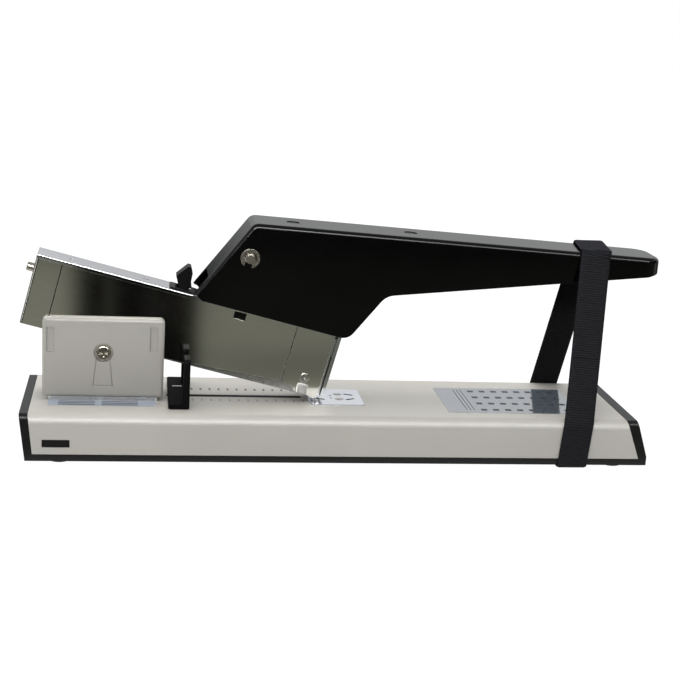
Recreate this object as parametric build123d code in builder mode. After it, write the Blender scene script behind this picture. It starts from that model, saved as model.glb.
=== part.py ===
from build123d import *
import math
import os

os.makedirs("parts", exist_ok=True)

# Long-lever stapler, in millimetres: X towards the handle tip, Y away from the viewer, Z up, floor at Z 0.
# Stations along the base are measured from the rear axle. Sizes on the head are u (towards the nose)
# and v (away from the base), measured from the axle along the tilted head.

# Fits
FIT = 0.05
RUN = 0.3
SEAT = 0.15

# Head, in u and v
HEAD_TILT = 13.8
AXLE_Z = 53.5
CAP_REAR, CAP_FRONT = -45.7, -32.2
CAP_BOTTOM, CAP_TOP = 3.6, 40.75
SHELL_REAR, SHELL_FRONT = -31.8, 95.6
SHELL_HALF, SHELL_WALL = 8.5, 1.2
SHELL_TOP = 41.05
NOSE_REAR, NOSE_FRONT = 96.0, 116.9
LID_LOW, LID_HIGH, LID_HALF = 41.1, 41.8, 9.25
ROD_V, ROD_RADIUS = 32.3, 2.0
STRIP_REAR, STRIP_FRONT = 62.0, 117.0
CHANNEL_HALF, CHANNEL_WALL, CHANNEL_FLOOR = 7.15, 0.6, 3.6
CORE_HALF, CORE_TOP = 5.1, 21.4
STRIP_WIRE = 0.9
BLADE_U, BLADE_THICK, BLADE_HALF = 117.3, 1.0, 6.2
PLATE_U, PLATE_THICK = 118.8, 1.9
LATCH_U, LATCH_V = 32.0, 38.0
PIN_U, PIN_V, PIN_RADIUS = 59.9, 70.0, 2.8
DRIVE_U, DRIVE_V, DRIVE_RADIUS = 116.3, 58.0, 3.0
DRIVE_PLAY = 0.4

# Handle, stations and heights in the pressed state of the photograph
HANDLE_TIP = 300.7
HANDLE_HALF, HANDLE_WALL = 15.5, 1.5
HANDLE_FRONT_TOP = (76.6, 125.4)
HANDLE_FRONT_LOW = (46.9, 87.2)
HANDLE_SLOPE = 3.17
HANDLE_HOLES = (98.2, 162.2)

# Base
BASE_HALF, BASE_TOP, SHEET = 37.0, 27.0, 1.2
BASE_LOW, BAND_TOP, FLOOR_TOP = 2.0, 5.7, 4.0
FOLD = 3.0
ANVIL_X, ANVIL_LONG, ANVIL_WIDE = 126.05, 29.9, 28.8
SLOT_REAR, SLOT_FRONT, SLOT_WIDE = 33.5, 107.5, 4.0
WINDOW = (-30.1, -15.9, 9.3, 13.6)
FOOT_THICK = 2.0

# Pivot
AXLE_RADIUS, AXLE_HALF = 4.0, 8.85
EAR_IN, EAR_OUT = 4.4, 5.7
HINGE_IN, HINGE_OUT = 6.0, 7.2
COVER_HALF_X, COVER_TOP, COVER_IN, COVER_OUT = 31.7, 72.0, 8.9, 12.0

COS = math.cos(math.radians(HEAD_TILT))
SIN = math.sin(math.radians(HEAD_TILT))
REAR_END = CAP_REAR * COS + CAP_BOTTOM * SIN
AXLE_X = -(REAR_END + HANDLE_TIP) / 2
AXLE = (AXLE_X, 0, AXLE_Z)

# Working planes: side and floor see the base, head, roof and nose see the tilted head, lid the handle top
side = Plane(origin=(AXLE_X, 0, 0), x_dir=(1, 0, 0), z_dir=(0, -1, 0))
floor = Plane(origin=(AXLE_X, 0, 0), x_dir=(1, 0, 0), z_dir=(0, 0, 1))
head = Plane(origin=AXLE, x_dir=(COS, 0, -SIN), z_dir=(0, -1, 0))
roof = Plane(origin=AXLE, x_dir=(COS, 0, -SIN), z_dir=(SIN, 0, COS))
nose = Plane(origin=AXLE, x_dir=(0, 1, 0), z_dir=(COS, 0, -SIN))
LID_X = math.cos(math.radians(HANDLE_SLOPE))
LID_Z = math.sin(math.radians(HANDLE_SLOPE))
lid = Plane(
    origin=(AXLE_X + HANDLE_FRONT_TOP[0], 0, HANDLE_FRONT_TOP[1]), x_dir=(LID_X, 0, -LID_Z), z_dir=(LID_Z, 0, LID_X)
)


def box(x0, x1, y0, y1):
    return [(x0, y0), (x1, y0), (x1, y1), (x0, y1)]


def plate(plane, outline, low, high, mode=Mode.ADD):
    with BuildSketch(plane.offset(low)) as face:
        with BuildLine():
            Polyline(*outline, close=True)
        make_face()
    extrude(face.sketch, amount=high - low, mode=mode)


def rounded(plane, outline, radii, low, high, mode=Mode.ADD):
    with BuildSketch(plane.offset(low)) as face:
        with BuildLine():
            FilletPolyline(*outline, radius=radii, close=True)
        make_face()
    extrude(face.sketch, amount=high - low, mode=mode)


def pair(plane, outline, inner, outer, mode=Mode.ADD):
    plate(plane, outline, inner, outer, mode)
    plate(plane, outline, -outer, -inner, mode)


def disc(plane, centre, radius, low, high, mode=Mode.ADD):
    with BuildSketch(plane.offset(low)) as face:
        with Locations(centre):
            Circle(radius)
    extrude(face.sketch, amount=high - low, mode=mode)


def discs(plane, centre, radius, inner, outer, mode=Mode.ADD):
    disc(plane, centre, radius, inner, outer, mode)
    disc(plane, centre, radius, -outer, -inner, mode)


def slot(plane, centre, long, wide, turn, low, high, mode=Mode.SUBTRACT):
    with BuildSketch(plane.offset(low)) as face:
        with Locations(Location((*centre, 0), (0, 0, turn))):
            SlotOverall(long, wide)
    extrude(face.sketch, amount=high - low, mode=mode)


def head_point(u, v):
    return (u * COS + v * SIN, AXLE_Z - u * SIN + v * COS)


def coil(plane, radius, wire, pitch, start, turns, first_leg, last_leg):
    """One unbroken wire: a leg, turns laid on biarcs of a quarter turn each, and a leg."""
    spans = round(turns * 4)

    def at(step):
        angle = math.radians(start + 90 * step)
        rise = pitch * (step / 4 - turns / 2)
        spot = Vector(radius * math.cos(angle), radius * math.sin(angle), rise)
        way = Vector(-radius * math.sin(angle), radius * math.cos(angle), pitch / (2 * math.pi))
        there = plane.from_local_coords(spot)
        return there, (plane.from_local_coords(spot + way) - there).normalized()

    with BuildLine() as path:
        p0, t0 = at(0)
        if first_leg:
            Line(p0 - t0 * first_leg, p0)
        for step in range(1, spans + 1):
            p1, t1 = at(step)
            chord = p1 - p0
            square = 2 * (1 - t0.dot(t1))
            linear = 2 * chord.dot(t0 + t1)
            reach = (-linear + math.sqrt(linear**2 + 4 * square * chord.dot(chord))) / (2 * square)
            q0 = p0 + t0 * reach
            q1 = p1 - t1 * reach
            middle = (q0 + q1) * 0.5
            TangentArc(p0, middle, tangent=t0)
            TangentArc(middle, p1, tangent=(q1 - q0).normalized())
            p0, t0 = p1, t1
        if last_leg:
            Line(p0, p0 + t0 * last_leg)
    with BuildSketch(Plane(origin=path.line @ 0, z_dir=path.line % 0)) as section:
        Circle(wire / 2)
    sweep(section.sketch, path=path.wire())
    spots = [at(step / 8)[0] for step in range(spans * 8 + 1)]
    gaps = [(a - b).length for i, a in enumerate(spots) for b in spots[i + 16 :]]
    print("coil", turns, "turns, least gap to itself", round(min(gaps) - wire, 2), "mm")


# Base: tray, painted cover and what stands under it

TRAY = [(-38.7, BASE_LOW), (295.5, BASE_LOW), (295.5, 6.8), (288.6, BASE_TOP), (-41.7, BASE_TOP)]
COVER_LOW_REAR, COVER_LOW_FRONT = -34.9, 290.8
COVER_SIDE = [(COVER_LOW_REAR, BAND_TOP), (COVER_LOW_FRONT, BAND_TOP), (282.6, BASE_TOP), (-37.2, BASE_TOP)]
FEET = [(-21.5, 27), (278.5, 27), (-21.5, -27), (278.5, -27)]
STAND_HALF_Y = 13.0
STAND_WALL = 3.0
BRACKET_STAND = 30.0
ANVIL_STAND = 14.0
TRAY_SCREWS = [(-20, 0), (20, 0), (ANVIL_X - 6.5, 0), (ANVIL_X + 6.5, 0)]
BRACKET_SCREWS = [(-22, -3.5), (-22, 3.5), (22, -3.5), (22, 3.5)]

with BuildPart() as base_tray:
    plate(side, TRAY, -BASE_HALF, BASE_HALF)
    long_edges = base_tray.edges().filter_by(Axis.X).group_by(Axis.Z)[-1]
    fillet(long_edges, FOLD)
    room = [(x - SEAT if x < 0 else x + SEAT, z) for x, z in COVER_SIDE]
    plate(side, room, -BASE_HALF - 5, BASE_HALF + 5, Mode.SUBTRACT)
    pocket = [(-33.5, FLOOR_TOP), (289.0, FLOOR_TOP), (281.0, BASE_TOP), (-33.5, BASE_TOP)]
    plate(side, pocket, -33.6, 33.6, Mode.SUBTRACT)
    pair(side, box(-31.5, 281, FLOOR_TOP, 14.2), 33.6, BASE_HALF - SHEET - SEAT)
    lug = box(WINDOW[0] + RUN, WINDOW[1] - RUN, WINDOW[2] + RUN, WINDOW[3] - RUN)
    pair(side, lug, 35, BASE_HALF - 0.5)
    for spot in FEET:
        disc(floor, spot, 6.95, BASE_LOW, 3.0, Mode.SUBTRACT)
    for spot in TRAY_SCREWS:
        disc(floor, spot, 3.7, BASE_LOW, 3.0, Mode.SUBTRACT)
        disc(floor, spot, 1.8, BASE_LOW, FLOOR_TOP, Mode.SUBTRACT)

with BuildPart() as cover_hollow:
    plate(side, [(-60, 0), (320, 0), (320, BASE_TOP - SHEET), (-60, BASE_TOP - SHEET)], SHEET - BASE_HALF, BASE_HALF - SHEET)
    fillet(cover_hollow.edges().filter_by(Axis.X).group_by(Axis.Z)[-1], FOLD - SHEET)

with BuildPart() as base_cover:
    plate(side, COVER_SIDE, -BASE_HALF, BASE_HALF)
    fillet(base_cover.edges().filter_by(Axis.X).group_by(Axis.Z)[-1], FOLD)
    add(cover_hollow.part, mode=Mode.SUBTRACT)
    plate(side, box(*WINDOW), -BASE_HALF - 1, BASE_HALF + 1, Mode.SUBTRACT)
    slot_middle = ((SLOT_REAR + SLOT_FRONT) / 2, 0)
    slot(floor, slot_middle, SLOT_FRONT - SLOT_REAR, SLOT_WIDE, 0, 20, BASE_TOP + 1)
    hole = box(ANVIL_X - ANVIL_LONG / 2 - SEAT, ANVIL_X + ANVIL_LONG / 2 + SEAT, -ANVIL_WIDE / 2 - SEAT, ANVIL_WIDE / 2 + SEAT)
    rounded(floor, hole, 2.0, 20, BASE_TOP + 1, Mode.SUBTRACT)
    for spot in BRACKET_SCREWS:
        disc(floor, spot, 2.2, 20, BASE_TOP + 1, Mode.SUBTRACT)

with BuildPart() as rubber_feet:
    for spot in FEET:
        disc(floor, spot, 6.8, 0, 3.0)
    chamfer(rubber_feet.faces().group_by(Axis.Z)[0].edges(), 0.8)

with BuildPart() as tray_screws:
    for spot in TRAY_SCREWS:
        disc(floor, spot, 3.5, 2.1, 3.0)
        disc(floor, spot, 1.6, 3.0, 9.0)


def stand(middle, half, top, screws, drilled, bore):
    """Hat-shaped steel support between the tray floor and the plate above it."""
    plate(side, box(middle - half, middle + half, FLOOR_TOP, top), -STAND_HALF_Y, STAND_HALF_Y)
    inside = half - STAND_WALL
    plate(side, box(middle - inside, middle + inside, FLOOR_TOP + 3, top - STAND_WALL), -30, 30, Mode.SUBTRACT)
    gap = inside - 9 if inside > 15 else 1.0
    plate(side, box(middle - gap, middle + gap, 0, 10), -30, 30, Mode.SUBTRACT)
    for spot in screws:
        disc(floor, spot, 1.65, 0, 10, Mode.SUBTRACT)
    for spot in drilled:
        disc(floor, spot, bore, top - 8, top + 1, Mode.SUBTRACT)


ANVIL_THICK = 3.0
ANVIL_TOP = BASE_TOP + 0.4
ANVIL_SCREWS = [(ANVIL_X + 2.0, -4.2), (ANVIL_X + 2.0, 4.2)]

with BuildPart() as bracket_stand:
    stand(0, BRACKET_STAND, BASE_TOP - SHEET, TRAY_SCREWS[:2], BRACKET_SCREWS, 2.05)

with BuildPart() as anvil_stand:
    stand(ANVIL_X, ANVIL_STAND, ANVIL_TOP - ANVIL_THICK, TRAY_SCREWS[2:], ANVIL_SCREWS, 1.55)

with BuildPart() as anvil_plate:
    outline = box(ANVIL_X - ANVIL_LONG / 2, ANVIL_X + ANVIL_LONG / 2, -ANVIL_WIDE / 2, ANVIL_WIDE / 2)
    rounded(floor, outline, 1.8, ANVIL_TOP - ANVIL_THICK, ANVIL_TOP)
    chamfer(anvil_plate.faces().sort_by(Axis.Z)[-1].edges(), 0.3)
    for x, turn in ((8.0, -25), (-8.6, 25)):
        slot(floor, (ANVIL_X + x, 4.2), 5.6, 1.7, turn, ANVIL_TOP - 0.9, ANVIL_TOP + 1)
        slot(floor, (ANVIL_X + x, -4.2), 5.6, 1.7, -turn, ANVIL_TOP - 0.9, ANVIL_TOP + 1)
    for spot in ANVIL_SCREWS:
        disc(floor, spot, 2.55, ANVIL_TOP - 1.5, ANVIL_TOP + 1, Mode.SUBTRACT)
        disc(floor, spot, 1.6, ANVIL_TOP - 5, ANVIL_TOP, Mode.SUBTRACT)
    for y in (-2.3, 2.3):
        disc(floor, (ANVIL_X - 2.3, y), 0.7, ANVIL_TOP - 1, ANVIL_TOP + 1, Mode.SUBTRACT)

with BuildPart() as anvil_screws:
    for spot in ANVIL_SCREWS:
        disc(floor, spot, 2.5, ANVIL_TOP - 1.5, ANVIL_TOP - 0.1)
        disc(floor, spot, 1.5, ANVIL_TOP - 9, ANVIL_TOP - 1.5)
    for spot in ANVIL_SCREWS:
        slot(floor, spot, 3.4, 0.7, 20, ANVIL_TOP - 0.7, ANVIL_TOP)

# Pivot: bracket, axle, side covers, lift spring

with BuildPart() as pivot_bracket:
    foot_top = BASE_TOP + FOOT_THICK
    rounded(floor, box(-29.5, 29.5, -11, 11), 2.0, BASE_TOP, foot_top)
    ear = [(-16, foot_top), (16, foot_top), (8.4, AXLE_Z + 1), (-8.4, AXLE_Z + 1)]
    pair(side, ear, EAR_IN, EAR_OUT)
    discs(side, (0, AXLE_Z), 8.5, EAR_IN, EAR_OUT)
    disc(side, (0, AXLE_Z), AXLE_RADIUS + 0.02, -20, 20, Mode.SUBTRACT)
    for spot in BRACKET_SCREWS:
        disc(floor, spot, 2.2, BASE_TOP, foot_top, Mode.SUBTRACT)

with BuildPart() as bracket_screws:
    for x, y in BRACKET_SCREWS:
        disc(floor, (x, y), 3.2, BASE_TOP + FOOT_THICK, BASE_TOP + FOOT_THICK + 2.2)
        disc(floor, (x, y), 2.0, BASE_TOP - 8, BASE_TOP + FOOT_THICK)

with BuildPart() as pivot_axle:
    disc(side, (0, AXLE_Z), AXLE_RADIUS, -AXLE_HALF, AXLE_HALF)
    discs(side, (0, AXLE_Z), 2.0, AXLE_HALF - 7, AXLE_HALF, Mode.SUBTRACT)

SCREW_SEAT = COVER_OUT - 1.2

with BuildPart() as side_cover_near:
    shield = box(-COVER_HALF_X, COVER_HALF_X, BASE_TOP + FOOT_THICK, COVER_TOP)
    rounded(side, shield, 2.5, COVER_IN, COVER_OUT)
    fillet(side_cover_near.faces().sort_by(Axis.Y)[0].edges(), 1.8)
    for x, z in ((-27.5, 53.6), (26.2, 54.4)):
        plate(side, box(x - 1.9, x + 1.9, z, z + 13.3), COVER_OUT - 0.7, COVER_OUT + 1, Mode.SUBTRACT)
    tongue = [(-5.4, 35.0), (5.2, 35.0), (3.4, 51.7), (-3.6, 51.7)]
    plate(side, tongue, COVER_OUT - 0.3, COVER_OUT + 1, Mode.SUBTRACT)
    inset = [(-4.9, 35.5), (4.7, 35.5), (3.0, 51.2), (-3.2, 51.2)]
    plate(side, inset, COVER_OUT - 0.4, COVER_OUT)
    disc(side, (0, AXLE_Z), 5.0, SCREW_SEAT, COVER_OUT + 1, Mode.SUBTRACT)
    disc(side, (0, AXLE_Z), 2.2, COVER_IN - 1, COVER_OUT, Mode.SUBTRACT)

with BuildPart() as side_cover_far:
    mirror(side_cover_near.part, about=Plane.XZ)

with BuildPart() as cover_screws:
    discs(side, (0, AXLE_Z), 4.0, SCREW_SEAT, SCREW_SEAT + 2.2)
    ends = cover_screws.faces().filter_by(Axis.Y).sort_by(Axis.Y)
    fillet((ends[0].edges() + ends[-1].edges()), 1.0)
    discs(side, (0, AXLE_Z), 1.95, SCREW_SEAT - 7, SCREW_SEAT)
    cross = [box(-2.2, 2.2, AXLE_Z - 0.45, AXLE_Z + 0.45), box(-0.45, 0.45, AXLE_Z - 2.2, AXLE_Z + 2.2)]
    for arm in cross:
        pair(side, arm, SCREW_SEAT + 1.0, SCREW_SEAT + 3, Mode.SUBTRACT)

with BuildPart() as head_lift_spring:
    coil(head, 6.4, 1.6, 2.2, 90, 2.25, 8, 16)

# Head: sheet steel shell, lid, rear cap with its rod, magazine inside, nose

with BuildPart() as magazine_housing:
    shell = [(SHELL_REAR, 4.4), (32, 4.4), (SHELL_FRONT, 8.2), (SHELL_FRONT, SHELL_TOP), (SHELL_REAR, SHELL_TOP)]
    plate(head, shell, -SHELL_HALF, SHELL_HALF)
    fillet(magazine_housing.faces().sort_by(lambda f: f.normal_at().dot(roof.z_dir))[-1].edges().filter_by(
        lambda e: abs((e % 0.5).dot(roof.x_dir)) > 0.9), 1.0)
    inside = SHELL_HALF - SHELL_WALL
    plate(head, box(-60, 130, -20, SHELL_TOP - SHELL_WALL), -inside, inside, Mode.SUBTRACT)
    plate(head, box(60.9, 67.5, 35.3, 39.2), -10, 10, Mode.SUBTRACT)
    plate(roof, box(27.5, 36.5, -4.6, 4.6), 38, 45, Mode.SUBTRACT)

with BuildPart() as top_plate:
    plate(roof, box(CAP_REAR, NOSE_FRONT - 0.1, -LID_HALF, LID_HALF), LID_LOW - 1.5, LID_HIGH)
    fillet(top_plate.faces().sort_by(lambda f: f.normal_at().dot(roof.z_dir))[-1].edges().filter_by(
        lambda e: abs((e % 0.5).dot(roof.x_dir)) > 0.9), 0.6)
    plate(roof, box(-60, 130, -LID_HALF + 0.7, LID_HALF - 0.7), 30, LID_LOW, Mode.SUBTRACT)
    plate(roof, box(27.5, 36.5, -4.6, 4.6), 38, 45, Mode.SUBTRACT)
    for u in (-27.7, 11.6):
        disc(roof, (u, 0), 1.6, 38, 45, Mode.SUBTRACT)

with BuildPart() as hinge_frame:
    arm = [(-13, 39.6), (-9, 0), (9, 0), (9, 39.6)]
    pair(head, arm, HINGE_IN, HINGE_OUT)
    discs(head, (0, 0), 9.0, HINGE_IN, HINGE_OUT)
    plate(head, box(-13, 9, 38.4, 39.6), -HINGE_OUT, HINGE_OUT)
    disc(head, (0, 0), 5.55, -20, 20, Mode.SUBTRACT)

with BuildPart() as hinge_bushes:
    discs(head, (0, 0), 5.5, HINGE_IN, HINGE_OUT)
    disc(head, (0, 0), AXLE_RADIUS + FIT, -20, 20, Mode.SUBTRACT)

with BuildPart() as follower_cap:
    plate(head, box(CAP_REAR, CAP_FRONT, CAP_BOTTOM, CAP_TOP), -8.25, 8.25)
    rear_edges = follower_cap.faces().sort_by(lambda f: f.center().dot(Vector(*roof.x_dir)))[0].edges()
    fillet(rear_edges.filter_by(lambda e: abs((e % 0.5).dot(roof.z_dir)) > 0.9), 1.5)
    plate(head, box(CAP_REAR + SHELL_WALL, CAP_FRONT + 1, -5, CAP_TOP - SHELL_WALL), -7.05, 7.05, Mode.SUBTRACT)
    disc(nose, (0, ROD_V), ROD_RADIUS + FIT, CAP_REAR - 1, CAP_REAR + 2, Mode.SUBTRACT)

with BuildPart() as follower_rod:
    disc(nose, (0, ROD_V), 2.3, CAP_REAR - 3.7, CAP_REAR)
    chamfer(follower_rod.faces().sort_by(lambda f: f.center().dot(Vector(*roof.x_dir)))[0].edges(), 0.5)
    disc(nose, (0, ROD_V), ROD_RADIUS, CAP_REAR, 112)
    disc(nose, (0, ROD_V), 3.2, CAP_REAR + SHELL_WALL, CAP_REAR + SHELL_WALL + 2.5)

PUSHER_REAR, PUSHER_FRONT = 50.0, STRIP_REAR - RUN

with BuildPart() as pusher_spring:
    spring_rear = CAP_REAR + SHELL_WALL + 3.2
    spring_front = PUSHER_REAR - 0.8
    spring_turns = 10
    spring_pitch = (spring_front - spring_rear) / spring_turns
    spring_line = Plane(
        origin=nose.from_local_coords((0, ROD_V, (spring_rear + spring_front) / 2)), x_dir=nose.x_dir, z_dir=nose.z_dir
    )
    coil(spring_line, 2.95, 0.8, spring_pitch, 0, spring_turns, 0, 0)

with BuildPart() as staple_pusher:
    leg_in, leg_out = CORE_HALF + RUN, CHANNEL_HALF - CHANNEL_WALL - RUN
    pair(head, box(PUSHER_REAR, PUSHER_FRONT, 6, 35.2), leg_in, leg_out)
    plate(head, box(PUSHER_REAR, PUSHER_FRONT, CORE_TOP + RUN, 35.2), -leg_out, leg_out)
    disc(nose, (0, ROD_V), ROD_RADIUS + FIT, PUSHER_REAR - 1, PUSHER_FRONT + 1, Mode.SUBTRACT)
    plate(head, box(PUSHER_REAR + 3, PUSHER_FRONT + 1, CORE_TOP + 3, 28.5), -20, 20, Mode.SUBTRACT)

with BuildPart() as staple_channel:
    plate(head, box(14, NOSE_FRONT - 0.9, CHANNEL_FLOOR, 26), -CHANNEL_HALF, CHANNEL_HALF)
    trough = CHANNEL_HALF - CHANNEL_WALL
    plate(head, box(10, 130, CHANNEL_FLOOR + 0.8, 30), -trough, trough, Mode.SUBTRACT)

with BuildPart() as staple_core:
    plate(head, box(16, NOSE_FRONT - 0.3, CHANNEL_FLOOR + 0.8, CORE_TOP), -CORE_HALF, CORE_HALF)
    plate(head, box(10, 130, 0, CORE_TOP - 1), 1 - CORE_HALF, CORE_HALF - 1, Mode.SUBTRACT)

with BuildPart() as staple_strip:
    strip_half = CORE_HALF + RUN + 0.05 + STRIP_WIRE
    strip_top = CORE_TOP + 0.1 + STRIP_WIRE
    plate(head, box(STRIP_REAR, STRIP_FRONT, 5.4, strip_top), -strip_half, strip_half)
    fillet(staple_strip.faces().sort_by(lambda f: f.normal_at().dot(roof.z_dir))[-1].edges().filter_by(
        lambda e: abs((e % 0.5).dot(roof.x_dir)) > 0.9), 0.5)
    hollow = strip_half - STRIP_WIRE
    plate(head, box(STRIP_REAR - 1, STRIP_FRONT + 1, 0, strip_top - STRIP_WIRE), -hollow, hollow, Mode.SUBTRACT)

with BuildPart() as nose_housing:
    outline = [(NOSE_REAR, 8.2), (103, 6), (104, 4.5), (111, 4.5), (114.1, 3.0), (NOSE_FRONT, 4.1)]
    plate(head, outline + [(NOSE_FRONT, SHELL_TOP), (NOSE_REAR, SHELL_TOP)], -SHELL_HALF, SHELL_HALF)
    fillet(nose_housing.faces().sort_by(lambda f: f.normal_at().dot(roof.z_dir))[-1].edges().filter_by(
        lambda e: abs((e % 0.5).dot(roof.x_dir)) > 0.9), 1.0)
    plate(head, box(90, 130, 0, SHELL_TOP - SHELL_WALL), -inside, inside, Mode.SUBTRACT)
    discs(head, (107.5, 13.2), 1.9, 7, 10, Mode.SUBTRACT)

with BuildPart() as nose_rivets:
    discs(head, (107.5, 13.2), 2.6, SHELL_HALF, SHELL_HALF + 0.8)
    rims = nose_rivets.faces().filter_by(Axis.Y).sort_by(Axis.Y)
    fillet(rims[0].edges() + rims[-1].edges(), 0.4)
    discs(head, (107.5, 13.2), 1.85, inside, SHELL_HALF)
    disc(head, (107.5, 13.2), 1.2, -20, 20, Mode.SUBTRACT)

with BuildPart() as front_plate:
    plate(head, [(PLATE_U, 4.9), (PLATE_U + PLATE_THICK, 7.2), (PLATE_U + PLATE_THICK, 40.5), (PLATE_U, 40.5)], -SHELL_HALF, SHELL_HALF)
    pair(head, box(100, PLATE_U, 28, 38), inside - 0.8, inside - 0.1)

# Latch on top of the head

with BuildPart() as latch_bezel:
    rounded(roof, box(24.6, 39.4, -6.4, 6.4), 1.5, LID_HIGH + FIT, LID_HIGH + 0.7)
    plate(roof, box(27.5, 36.5, -4.6, 4.6), 38, 45, Mode.SUBTRACT)

with BuildPart() as latch_lever:
    tab = [(28.7, 43.9), (26.3, 48.4), (31.2, 55.0), (32.9, 54.9), (34.4, 52.0), (34.7, 47.6), (36.0, 43.9)]
    rounded(head, tab, [0.4, 0.8, 0.7, 0.6, 1.5, 1.5, 0.4], -4.3, 4.3)
    plate(head, box(LATCH_U - 2, LATCH_U + 2, LATCH_V - 1.2, 44.5), -4.3, 4.3)
    disc(head, (LATCH_U, LATCH_V), 2.3, -4.3, 4.3)
    disc(head, (LATCH_U, LATCH_V), 1.25 + FIT, -10, 10, Mode.SUBTRACT)

with BuildPart() as latch_pin:
    disc(head, (LATCH_U, LATCH_V), 1.25, -inside + FIT, inside - FIT)

# Handle hinge on the head

EAR_HALF = 8.5
HINGE_FOOT = LID_HIGH + FIT

with BuildPart() as handle_bracket:
    plate(head, box(50, 78, HINGE_FOOT, HINGE_FOOT + 1.5), -EAR_HALF, EAR_HALF)
    ear = [(PIN_U - 5.2, HINGE_FOOT), (77, HINGE_FOOT), (PIN_U + 7.4, PIN_V), (PIN_U - 5.2, PIN_V)]
    pair(head, ear, EAR_HALF - 1.5, EAR_HALF)
    discs(head, (PIN_U, PIN_V), 7.5, EAR_HALF - 1.5, EAR_HALF)
    disc(head, (PIN_U, PIN_V), PIN_RADIUS + 0.02, -20, 20, Mode.SUBTRACT)

with BuildPart() as bracket_rivets:
    for u in (52.4, 73.5):
        disc(roof, (u, 0), 2.4, HINGE_FOOT + 1.5, HINGE_FOOT + 2.7)
    fillet(bracket_rivets.faces().sort_by(lambda f: f.center().dot(Vector(*roof.z_dir)))[-2:].edges(), 0.8)

with BuildPart() as pin_spacers:
    discs(head, (PIN_U, PIN_V), 4.5, EAR_HALF + 0.1, HANDLE_HALF - HANDLE_WALL - 0.2)
    disc(head, (PIN_U, PIN_V), PIN_RADIUS + FIT, -20, 20, Mode.SUBTRACT)

CLIP_IN, CLIP_OUT = HANDLE_HALF + RUN, HANDLE_HALF + RUN + 0.8

with BuildPart() as handle_pin:
    disc(head, (PIN_U, PIN_V), PIN_RADIUS, -17.6, 17.6)
    chamfer(handle_pin.faces().filter_by(Axis.Y).edges(), 0.5)
    discs(head, (PIN_U, PIN_V), PIN_RADIUS + 1, CLIP_IN - FIT, CLIP_OUT + FIT, Mode.SUBTRACT)
    discs(head, (PIN_U, PIN_V), 2.2, CLIP_IN - FIT, CLIP_OUT + FIT)

with BuildPart() as pin_clips:
    discs(head, (PIN_U, PIN_V), 5.1, CLIP_IN, CLIP_OUT)
    discs(head, (PIN_U, PIN_V), 3.4, CLIP_IN - 1, CLIP_OUT + 1, Mode.SUBTRACT)
    for turn in (90, 210, 330):
        way = math.radians(turn)
        across = (-math.sin(way), math.cos(way))
        reach = [(2.24, -1.2), (4.0, -1.2), (4.0, 1.2), (2.24, 1.2)]
        lobe = [
            (PIN_U + r * math.cos(way) + w * across[0], PIN_V + r * math.sin(way) + w * across[1]) for r, w in reach
        ]
        pair(head, lobe, CLIP_IN, CLIP_OUT)
    discs(head, (PIN_U, PIN_V), 2.25, CLIP_IN - 1, CLIP_OUT + 1, Mode.SUBTRACT)
    pair(head, box(PIN_U - 2.0, PIN_U + 2.0, PIN_V - 8, PIN_V - 2.5), CLIP_IN - 1, CLIP_OUT + 1, Mode.SUBTRACT)

with BuildPart() as handle_return_spring:
    pin_line = Plane(origin=head.from_local_coords((PIN_U, PIN_V, 0)), x_dir=head.x_dir, z_dir=head.z_dir)
    coil(pin_line, 6.2, 1.6, 2.2, 0, 3.75, 20, 14)

# Handle: pressed steel channel, open underneath, with the drive bracket inside

PIN_X, PIN_Z = head_point(PIN_U, PIN_V)
DRIVE_X, DRIVE_Z = head_point(DRIVE_U, DRIVE_V)
TIP_TOP = HANDLE_FRONT_TOP[1] - (HANDLE_TIP - HANDLE_FRONT_TOP[0]) * LID_Z / LID_X
WEB_LONG = math.dist(HANDLE_FRONT_TOP, HANDLE_FRONT_LOW)
WEB_X = (HANDLE_FRONT_TOP[0] - HANDLE_FRONT_LOW[0]) / WEB_LONG
WEB_Z = (HANDLE_FRONT_TOP[1] - HANDLE_FRONT_LOW[1]) / WEB_LONG


def web_point(along, inwards):
    x, z = HANDLE_FRONT_LOW
    return (x + along * WEB_X + inwards * WEB_Z, z + along * WEB_Z - inwards * WEB_X)


with BuildPart() as handle_hollow:
    ceiling = HANDLE_FRONT_TOP[1] - HANDLE_WALL / LID_X
    slope = LID_Z / LID_X
    low_corner = web_point(-60, HANDLE_WALL)
    top_corner = web_point(WEB_LONG - 1.3, HANDLE_WALL)
    tip_inner = HANDLE_TIP - HANDLE_WALL
    tip_ceiling = ceiling - (tip_inner - HANDLE_FRONT_TOP[0]) * slope
    top_corner = (top_corner[0], ceiling - (top_corner[0] - HANDLE_FRONT_TOP[0]) * slope)
    plate(side, [low_corner, (tip_inner, 30), (tip_inner, tip_ceiling), top_corner], -14, 14)
    with BuildSketch(floor) as plan:
        with Locations(((tip_inner - 180), 0)):
            RectangleRounded(360, 2 * (HANDLE_HALF - HANDLE_WALL), 7.5)
    extrude(plan.sketch, amount=200, mode=Mode.INTERSECT)

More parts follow.
